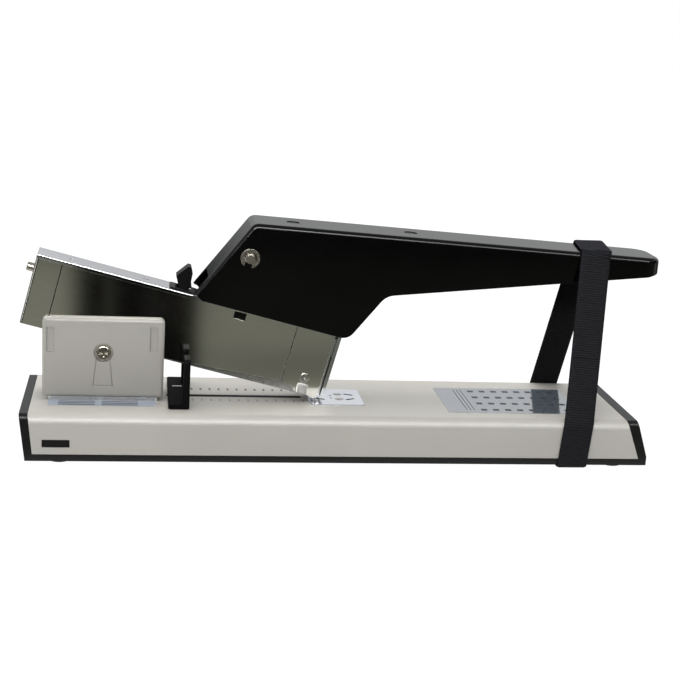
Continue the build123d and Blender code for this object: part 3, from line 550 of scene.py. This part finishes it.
def strap_ring(bm, painted_rib_light, points, i, crest):
    """Corners of the band's section at point i: its outer face, then its inner face back again."""
    point = points[i]
    ahead = (points[min(i + 1, len(points) - 1)] - points[max(i - 1, 0)]).normalized()
    across = (Vector((1, 0, 0)) - ahead * ahead.x).normalized()
    out = across.cross(ahead).normalized()
    if out.dot(Vector((0, point.y, point.z - STRAP_MIDDLE_Z))) < 0:
        out = -out
    ring = []
    for face in (1, -1):
        for c in range(STRAP_COLUMNS + 1):
            t = face * (2 * c / STRAP_COLUMNS - 1)
            edge = max(0.0, (abs(t) - EDGE_START) / (1 - EDGE_START))
            thick = STRAP_THICK / 2 * (1 - EDGE_THINNING * edge * edge)
            lift = thick + RIB_RISE * crest * (1 - edge)
            vert = bm.verts.new(point + across * (t * STRAP_WIDE / 2) + out * (face * lift))
            # Rib value: painted light on the rib tops, painted shade between the ribs, and flat painted shade
            # on the inner face
            vert[painted_rib_light] = 0.5 + 0.5 * crest if face == 1 else INNER_FACE_PAINTED_SHADE
            ring.append(vert)
    return ring


def strap_half(name, points, first_row):
    """A closed ribbed band through the points; rib height follows the running row number."""
    bm = bmesh.new()
    coords = bm.loops.layers.uv.new("weave")
    painted_rib_light = bm.verts.layers.float.new("rib")
    rings = []
    for i in range(len(points)):
        crest = math.sin((first_row + i) * 2 * math.pi / ROWS_PER_RIB)
        rings.append(strap_ring(bm, painted_rib_light, points, i, crest))
    size = len(rings[0])
    for i in range(len(rings) - 1):
        for c in range(size):
            d = (c + 1) % size
            face = bm.faces.new((rings[i][c], rings[i][d], rings[i + 1][d], rings[i + 1][c]))
            face.smooth = True
            for loop in face.loops:
                row = i if loop.vert in (rings[i][c], rings[i][d]) else i + 1
                column = c if loop.vert in (rings[i][c], rings[i + 1][c]) else c + 1
                loop[coords].uv = (column / STRAP_COLUMNS, row * WEAVE_ROW)
    bm.faces.new(rings[0])
    bm.faces.new(list(reversed(rings[-1])))
    return new_piece(name, bm, ELASTIC, None)


def elastic_strap():
    points, total = rounded_loop(STRAP_ROUTE, RIB_PITCH / ROWS_PER_RIB)
    turn = next(i for i in range(len(points)) if points[i].z > STRAP_SEAM_Z)
    points = points[turn:] + points[:turn]
    upper = [i for i, p in enumerate(points) if p.z > STRAP_SEAM_Z]
    last = upper[-1]
    top = strap_half("strap_over_handle", points[: last + 1], 0)
    bottom = strap_half("strap_round_base", points[last:] + points[:1], last)
    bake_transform(top)
    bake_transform(bottom)
    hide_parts("elastic_strap")
    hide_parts("elastic_strap")


# Small sheet forms on the head, drawn in u (towards the nose), Y and v (away from the base) from the axle


def head_spot(u, y, v):
    turn = Matrix.Rotation(HEAD_TILT, 3, "Y")
    return Vector((AXLE_X, 0, AXLE_Z)) + turn @ Vector((u, y, v))


def head_prism(bm, u0, u1, outline):
    """A closed bar from u0 to u1 with an outline of Y and v."""
    rear, front = ([bm.verts.new(head_spot(u, y, v)) for y, v in outline] for u in (u0, u1))
    bm.faces.new(rear)
    bm.faces.new(front)
    close_round(bm, rear, front)


def cap_sleeve():
    """Inner lip of the rear cap, which closes the seam between cap and housing; it is black as painted shade
    seen through the seam.
    """
    bm = bmesh.new()
    out, low, high = 0.0069, 0.0052, 0.0388
    thick = 0.0007
    inside, under = out - thick, high - thick
    outer_wall = [(-out, low), (-out, high), (out, high), (out, low)]
    inner_wall = [(inside, low), (inside, under), (-inside, under), (-inside, low)]
    head_prism(bm, -0.0362, -0.0290, outer_wall + inner_wall)
    # Black lip: painted shade inside the seam.
    new_piece("cap_sleeve", bm, BLACK, "follower")


def window_painted_shade():
    """Dark plates behind the small windows of the housing, put there as painted shade inside it."""
    bm = bmesh.new()
    low, high = 0.0342, 0.0397
    for wing in (1, -1):
        near, far = wing * 0.0072, wing * 0.0068
        head_prism(bm, 0.0596, 0.0688, [(near, low), (far, low), (far, high), (near, high)])
    new_piece("window_painted_shade", bm, BLACK, "head")


def nose_flares():
    """Tabs pressed out of the nose, below its rivets."""
    bm = bmesh.new()
    flare = [(0.00852, 0.0052), (0.0104, 0.0052), (0.0087, 0.0096), (0.00852, 0.0096)]
    for wing in (1, -1):
        head_prism(bm, 0.1050, 0.1105, [(wing * y, v) for y, v in flare])
    new_piece("nose_flares", bm, SHELL, "head")


# Geometry Nodes helpers


def empty_tree(name, inputs):
    """A tree with named inputs for its sizes and one geometry output, still without nodes."""
    tree = bpy.data.node_groups.new(name, "GeometryNodeTree")
    tree.interface.new_socket("Geometry", in_out="OUTPUT", socket_type="NodeSocketGeometry")
    for label, kind, value in inputs:
        socket = tree.interface.new_socket(label, in_out="INPUT", socket_type="NodeSocket" + kind)
        if value is not None:
            socket.default_value = value
    return tree


def wire_up(tree, kinds, wires):
    """The tree's new nodes, joined by wires of (node, output, node, input)."""
    nodes = {label: tree.nodes.new(kind) for label, kind in kinds.items()}
    for source, output, target, socket in wires:
        tree.links.new(nodes[source].outputs[output], nodes[target].inputs[socket])
    return nodes


def grown(name, tree, values, body):
    """The tree's result as a plain mesh piece."""
    seed = bpy.data.objects.new(name, bpy.data.meshes.new(name))
    scene.collection.objects.link(seed)
    growth = seed.modifiers.new("growth", "NODES")
    growth.node_group = tree
    sockets = {s.name: s.identifier for s in tree.interface.items_tree if s.in_out == "INPUT"}
    for label, value in values.items():
        growth[sockets[label]] = value
    bpy.context.view_layer.update()
    ready = seed.evaluated_get(bpy.context.evaluated_depsgraph_get())
    mesh = bpy.data.meshes.new_from_object(ready)
    seed.modifiers.remove(growth)
    seed.data = mesh
    if body:
        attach(seed, body)
    return seed


# The wound spring behind the staple pusher, which shortens as the pusher slides back; here it is made at one
# length

SPRING_REAR, SPRING_FRONT, SPRING_V = -0.0413, 0.0492, 0.0323


def spring_tree():
    tree = empty_tree(
        "wound_spring",
        (
            ("Turns", "Float", 10.0),
            ("Coil Radius", "Float", 0.00295),
            ("Length", "Float", 0.09),
            ("Wire Radius", "Float", 0.0004),
            ("Steel", "Material", None),
        ),
    )
    kinds = {
        "given": "NodeGroupInput",
        "spiral": "GeometryNodeCurveSpiral",
        "wire": "GeometryNodeCurvePrimitiveCircle",
        "sweep": "GeometryNodeCurveToMesh",
        "smooth": "GeometryNodeSetShadeSmooth",
        "solid": "GeometryNodeRealizeInstances",
        "steel": "GeometryNodeSetMaterial",
        "done": "NodeGroupOutput",
    }
    wires = (
        ("given", "Turns", "spiral", "Rotations"),
        ("given", "Coil Radius", "spiral", "Start Radius"),
        ("given", "Coil Radius", "spiral", "End Radius"),
        ("given", "Length", "spiral", "Height"),
        ("given", "Wire Radius", "wire", "Radius"),
        ("spiral", "Curve", "sweep", "Curve"),
        ("wire", "Curve", "sweep", "Profile Curve"),
        ("sweep", "Mesh", "smooth", "Geometry"),
        ("smooth", "Geometry", "solid", "Geometry"),
        ("solid", "Geometry", "steel", "Geometry"),
        ("given", "Steel", "steel", "Material"),
        ("steel", "Geometry", "done", "Geometry"),
    )
    nodes = wire_up(tree, kinds, wires)
    nodes["spiral"].inputs["Resolution"].default_value = 32
    nodes["wire"].inputs["Resolution"].default_value = 12
    nodes["sweep"].inputs["Fill Caps"].default_value = True
    return tree


def pusher_coil():
    values = {"Length": SPRING_FRONT - SPRING_REAR, "Steel": WIRE}
    coil = grown("pusher_coil", spring_tree(), values, None)
    lie = Matrix.Rotation(math.pi / 2 + HEAD_TILT, 4, "Y")
    coil.data.transform(Matrix.Translation(head_spot(SPRING_REAR, 0, SPRING_V)) @ lie)
    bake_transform(coil)
    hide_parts("pusher_spring")


# Printed marks in rows and columns on the base top

TICK_LEVEL, TICK_THICK = BASE_TOP + 0.00003, 0.00004
FILM_LOW, FILM_HIGH, FILM_CORNER = BASE_TOP + 0.00001, BASE_TOP + 0.00009, 0.0015
PRINT_LEVEL, PRINT_THICK = BASE_TOP + 0.0001, 0.00003


def mark_tree():
    tree = empty_tree(
        "printed_marks",
        (
            ("Columns", "Int", 13),
            ("Rows", "Int", 1),
            ("Start", "Vector", (0, 0, 0)),
            ("Column Step", "Float", 0.005),
            ("Row Step", "Float", 0.005),
            ("Mark Size", "Vector", (0.0005, 0.002, 0.00004)),
            ("Ink", "Material", None),
        ),
    )
    kinds = {
        "given": "NodeGroupInput",
        "across": "ShaderNodeCombineXYZ",
        "along": "ShaderNodeCombineXYZ",
        "row": "GeometryNodeMeshLine",
        "column": "GeometryNodeMeshLine",
        "spread": "GeometryNodeInstanceOnPoints",
        "places": "GeometryNodeRealizeInstances",
        "mark": "GeometryNodeMeshCube",
        "marks": "GeometryNodeInstanceOnPoints",
        "solid": "GeometryNodeRealizeInstances",
        "inked": "GeometryNodeSetMaterial",
        "done": "NodeGroupOutput",
    }
    wires = (
        ("given", "Columns", "row", "Count"),
        ("given", "Start", "row", "Start Location"),
        ("given", "Column Step", "across", "X"),
        ("across", "Vector", "row", "Offset"),
        ("given", "Rows", "column", "Count"),
        ("given", "Row Step", "along", "Y"),
        ("along", "Vector", "column", "Offset"),
        ("row", "Mesh", "spread", "Points"),
        ("column", "Mesh", "spread", "Instance"),
        ("spread", "Instances", "places", "Geometry"),
        ("given", "Mark Size", "mark", "Size"),
        ("places", "Geometry", "marks", "Points"),
        ("mark", "Mesh", "marks", "Instance"),
        ("marks", "Instances", "solid", "Geometry"),
        ("solid", "Geometry", "inked", "Geometry"),
        ("given", "Ink", "inked", "Material"),
        ("inked", "Geometry", "done", "Geometry"),
    )
    wire_up(tree, kinds, wires)
    return tree


def depth_ticks(tree):
    """Two rows of ticks beside the guide slot."""
    for name, y, ink in (
        ("depth_ticks_near", -0.0078, printed_ink("tick_ink_pale", (0.34, 0.33, 0.31))),
        ("depth_ticks_far", 0.0119, printed_ink("tick_ink", (0.12, 0.12, 0.12))),
    ):
        values = {
            "Start": (AXLE_X + 0.0476, y, TICK_LEVEL),
            "Mark Size": (0.0011, 0.0034, TICK_THICK),
            "Ink": ink,
        }
        grown(name, tree, values, "base")


def label_sheet(name, x0, x1, y0, y1, material):
    """A film with rounded corners, stuck on the base top."""
    bm = bmesh.new()
    left, right = x0 + FILM_CORNER, x1 - FILM_CORNER
    near, far = y0 + FILM_CORNER, y1 - FILM_CORNER
    ring = []
    for x, y, start in ((right, far, 0), (left, far, 90), (left, near, 180), (right, near, 270)):
        for k in range(7):
            angle = math.radians(start + 15 * k)
            ring.append((AXLE_X + x + FILM_CORNER * math.cos(angle), y + FILM_CORNER * math.sin(angle)))
    bottom = [bm.verts.new((x, y, FILM_LOW)) for x, y in ring]
    top = [bm.verts.new((x, y, FILM_HIGH)) for x, y in ring]
    bm.faces.new(top)
    bm.faces.new(list(reversed(bottom)))
    close_round(bm, bottom, top)
    new_piece(name, bm, material, "base")


def labels(tree):
    """Two films with plain boxes, bars and rules."""
    film = label_film("silver_film", (0.128, 0.152, 0.178), shine=1.0, rough=0.08)
    # The rear film's pale tint is partly its own colour and partly painted light: the reflection of the side
    # cover above it.
    matt = label_film("pale_film", (0.38, 0.42, 0.48), shine=0.03, rough=0.45)
    ink = printed_ink("label_ink", (0.060, 0.068, 0.082))
    label_sheet("label_rear", -0.0284, 0.0279, -0.0210, -0.0080, matt)
    label_sheet("label_front", 0.1856, 0.2606, -0.0245, 0.0210, film)
    # Name, columns and rows, first mark, steps and mark size
    for name, grid, first, steps, size in (
        ("label_front_boxes", (8, 4), (0.2065, -0.0190), (0.0068, 0.0113), (0.0034, 0.0032)),
        ("label_front_bars", (3, 1), (0.1968, -0.0010), (0.0021, 0.005), (0.0004, 0.0380)),
        ("label_rear_rules", (2, 4), (-0.0135, -0.0190), (0.0225, 0.0028), (0.0190, 0.0014)),
    ):
        values = {
            "Columns": grid[0],
            "Rows": grid[1],
            "Start": (AXLE_X + first[0], first[1], PRINT_LEVEL),
            "Column Step": steps[0],
            "Row Step": steps[1],
            "Mark Size": (*size, PRINT_THICK),
            "Ink": ink,
        }
        grown(name, tree, values, "base")


def guide_mark():
    """White bar in the slit of the paper guide's foot."""
    white = printed_ink("slit_white", (0.86, 0.86, 0.85))
    bm = bmesh.new()
    bmesh.ops.create_cube(bm, size=1.0)
    bmesh.ops.scale(bm, vec=(0.0051, 0.0011, 0.0012), verts=bm.verts)
    bmesh.ops.translate(bm, vec=(AXLE_X + 0.0395, 0.008, BASE_TOP + 0.00226), verts=bm.verts)
    new_piece("guide_slit_white_bar", bm, white, "guide")


# Studio: world, floor and lamps

FLOOR_HALF, FLOOR_Z = 4.0, -0.0002


def seen_white(w, plain, white, out):
    """White where the camera, a reflection or glass looks, plain for the light on the object."""
    path = w.add("ShaderNodeLightPath").outputs
    seen = w.maths(path["Is Camera Ray"], path["Is Glossy Ray"], "MAXIMUM")
    seen = w.maths(seen, path["Is Transmission Ray"], "MAXIMUM")
    mixed = w.add("ShaderNodeMixShader")
    w.link(seen, mixed.inputs["Fac"])
    w.link(plain, mixed.inputs[1])
    w.link(white, mixed.inputs[2])
    w.link(mixed.outputs[0], out.inputs["Surface"])


def studio_world():
    world = bpy.data.worlds.new("studio")
    scene.world = world
    world.use_nodes = True
    w = Wiring(world.node_tree)
    w.tree.nodes.clear()
    backdrops = []
    for colour, strength in (((0.98, 0.99, 1.0, 1), 0.50), ((1, 1, 1, 1), 1.0)):
        backdrop = w.add("ShaderNodeBackground")
        backdrop.inputs["Color"].default_value = colour
        backdrop.inputs["Strength"].default_value = strength
        backdrops.append(backdrop.outputs[0])
    seen_white(w, *backdrops, w.add("ShaderNodeOutputWorld"))


def floor_white():
    """Plain matt floor that looks white and still keeps a share of the shadow."""
    material = new_material("floor_white")
    w = Wiring(material.node_tree)
    w.tree.nodes.clear()
    matt = w.add("ShaderNodeBsdfDiffuse")
    matt.inputs["Color"].default_value = (0.85, 0.85, 0.85, 1)
    shine = w.add("ShaderNodeEmission")
    shine.inputs["Strength"].default_value = 1.07
    shade = w.add("ShaderNodeMixShader")
    shade.inputs["Fac"].default_value = 0.93
    w.link(matt.outputs[0], shade.inputs[1])
    w.link(shine.outputs[0], shade.inputs[2])
    seen_white(w, matt.outputs[0], shade.outputs[0], w.add("ShaderNodeOutputMaterial"))
    return material


def lying(half, near, far, z):
    """Corners of a level sheet, half its width on either side."""
    return [(-half, near, z), (half, near, z), (half, far, z), (-half, far, z)]


def standing(start, end, low, high):
    """Corners of an upright sheet between two points of the plan."""
    return [(*start, low), (*end, low), (*end, high), (*start, high)]


def panel(name, corners, material):
    bm = bmesh.new()
    bm.faces.new([bm.verts.new(corner) for corner in corners])
    return mesh_object(name, bm, material)


def studio_floor():
    panel("floor", lying(FLOOR_HALF, -FLOOR_HALF, FLOOR_HALF, FLOOR_Z), floor_white())


def soft_box(name, place, aim, size, power):
    data = bpy.data.lights.new(name, "AREA")
    data.shape = "RECTANGLE"
    data.size, data.size_y = size
    data.energy = power
    lamp = bpy.data.objects.new(name, data)
    lamp.location = place
    lamp.rotation_euler = (Vector(aim) - Vector(place)).to_track_quat("-Z", "Y").to_euler()
    lamp.visible_glossy = False
    scene.collection.objects.link(lamp)


# Cards that only reflections see, so that bright steel and black enamel read as in a dim room

STEEL_GREY = (0.200, 0.203, 0.166)
FLOOR_CARD_NEAR, FLOOR_CARD_FAR, FLOOR_CARD_HALF, FLOOR_CARD_Z = 0.050, 1.3, 1.6, -0.0001
# Dark band of the front card: its edges as mirrored in the side of the head, in metres beside the camera
BAND_LEFT, BAND_RIGHT = (-0.027, -0.040), (0.026, 0.038)
# Streaks in that band as (middle, glow)
STREAKS, STREAK_HALF = ((-0.0150, 0.16), (0.0075, 0.06)), 0.0055
HEAD_SIDE_Y = -0.0085
ROOM_FRONT, ROOM_BACK, ROOM_TOP = -1.5, 1.1, 1.6
STRIP_Y = -1.45


class CardLight(Wiring):
    """A glow whose strength is worked out from the place on the card."""

    def __init__(self, name, colour):
        self.material = new_material(name)
        super().__init__(self.material.node_tree)
        self.tree.nodes.clear()
        self.light = self.add("ShaderNodeEmission")
        self.light.inputs["Color"].default_value = (*colour, 1)
        out = self.add("ShaderNodeOutputMaterial")
        self.link(self.light.outputs[0], out.inputs["Surface"])
        self.x, self.y, self.z = self.axes()

    def clouds(self, scale, low, high):
        where = self.add("ShaderNodeTexCoord").outputs["Object"]
        return self.span(self.noise(where, scale, detail=2, rough=0.5), low, high, 0.25, 0.75)

    def shine(self, level):
        self.link(level, self.light.inputs["Strength"])
        return self.material


def card(name, corners, material):
    sheet = panel(name, corners, material)
    sheet.visible_camera = False
    sheet.visible_diffuse = False
    sheet.visible_shadow = False


def floor_card(name, side, material):
    near, far = side * FLOOR_CARD_NEAR, side * FLOOR_CARD_FAR
    card(name, lying(FLOOR_CARD_HALF, near, far, FLOOR_CARD_Z), material)


def front_card():
    """Grey floor in front, with the dark band that the side of the head mirrors and two faint streaks in it."""
    c = CardLight("card_front_grey", STEEL_GREY)
    reach = c.maths(c.maths(HEAD_SIDE_Y, c.y, "SUBTRACT"), HEAD_SIDE_Y - EYE.y, "DIVIDE")
    beside = c.maths(c.maths(c.x, EYE.x, "SUBTRACT"), c.maths(reach, 1.0), "DIVIDE")
    sides = [c.span(beside, 0.0, 1.0, *band) for band in (BAND_LEFT, BAND_RIGHT)]
    streaks = []
    for middle, glow in STREAKS:
        off = c.size_of(c.maths(beside, middle, "SUBTRACT"))
        streaks.append(c.span(off, 0.0, glow, STREAK_HALF, 0.0))
    lit = c.maths(c.maths(*sides, "MAXIMUM"), c.maths(*streaks), "MAXIMUM")
    wing = c.times(c.span(c.x, 1.0, 0.02, -0.31, -0.38), c.span(beside, 1.06, 0.90, 0.045, 0.100))
    depth = c.times(c.span(c.y, 1.0, 0.06, -0.46, -0.62), c.span(c.y, 1.0, 0.80, -0.24, -0.18))
    level = c.times(c.times(lit, wing), c.times(depth, c.clouds(7.0, 0.86, 1.14)))
    near = c.span(c.y, 0.0, 0.7, -0.15, -0.11)
    floor_card("card_front", -1, c.shine(c.maths(level, near)))


def rear_floor_card():
    c = CardLight("card_rear_grey", STEEL_GREY)
    floor_card("card_rear", 1, c.shine(c.clouds(7.0, 0.7, 1.3)))


def back_card():
    """Upright card far behind: dim near the floor, pale higher up, dimmer again towards the top."""
    c = CardLight("card_back_pale", (0.98, 0.99, 1.0))
    rise = c.maths(c.span(c.z, 0.01, 0.60, 0.07, 0.21), c.span(c.z, 0.0, 0.29, 0.325, 0.370))
    top = c.span(c.z, 0.0, -0.30, 0.50, ROOM_TOP)
    corners = standing((-2.0, ROOM_BACK), (2.0, ROOM_BACK), 0.0, ROOM_TOP)
    card("card_back", corners, c.shine(c.maths(rise, top)))


def dark_walls():
    """Dim upright cards in front and at both ends: the dark room round the camera."""
    for name, start, end, top in (
        ("card_wall_front", (-2.0, ROOM_FRONT), (2.0, ROOM_FRONT), 1.1),
        ("card_wall_left", (-1.4, 0.5), (-1.4, ROOM_FRONT), 0.7),
        ("card_wall_right", (1.4, ROOM_FRONT), (1.4, 0.5), 0.7),
    ):
        c = CardLight(name, (0.040, 0.041, 0.040))
        card(name, standing(start, end, 0.0, top), c.shine(c.clouds(2.0, 0.5, 1.5)))


def ceiling():
    c = CardLight("card_ceiling_grey", (0.42, 0.42, 0.43))
    card("card_ceiling", lying(2.5, ROOM_FRONT, ROOM_BACK, ROOM_TOP), c.shine(c.clouds(1.0, 0.8, 1.2)))


def strip_light():
    """Bright strip high in front: the thin line of light along every fold."""
    c = CardLight("card_strip_white", (1.0, 1.0, 1.0))
    level = c.times(c.span(c.x, 1.0, 0.5, 0.10, 0.60), c.clouds(1.5, 24.0, 29.0))
    card("card_strip", standing((-1.3, STRIP_Y), (1.3, STRIP_Y), 0.80, 1.22), c.shine(level))


def side_strip():
    """Upright pale strip far to the left: a line of light along upright rounded edges."""
    c = CardLight("card_side_pale", (1.0, 1.0, 0.97))
    corners = standing((-1.38, -0.72), (-1.38, -0.40), 0.0, 0.7)
    card("card_side", corners, c.shine(c.clouds(2.0, 1.6, 2.4)))


def studio():
    studio_world()
    studio_floor()
    front_card()
    rear_floor_card()
    back_card()
    dark_walls()
    ceiling()
    strip_light()
    side_strip()
    soft_box("overhead", (-0.1, 0.1, 1.3), (0, 0, 0), (1.4, 1.2), 17)
    soft_box("back_fill", (0.1, 1.0, 0.8), (0, 0, 0.03), (1.4, 0.6), 6)
    soft_box("front_fill", (-0.9, -1.3, 0.9), (0, 0, 0.05), (0.8, 0.8), 2.5)


photo_camera()
dress_cad()
elastic_strap()
cap_sleeve()
window_painted_shade()
nose_flares()
pusher_coil()
marks = mark_tree()
depth_ticks(marks)
labels(marks)
guide_mark()
studio()
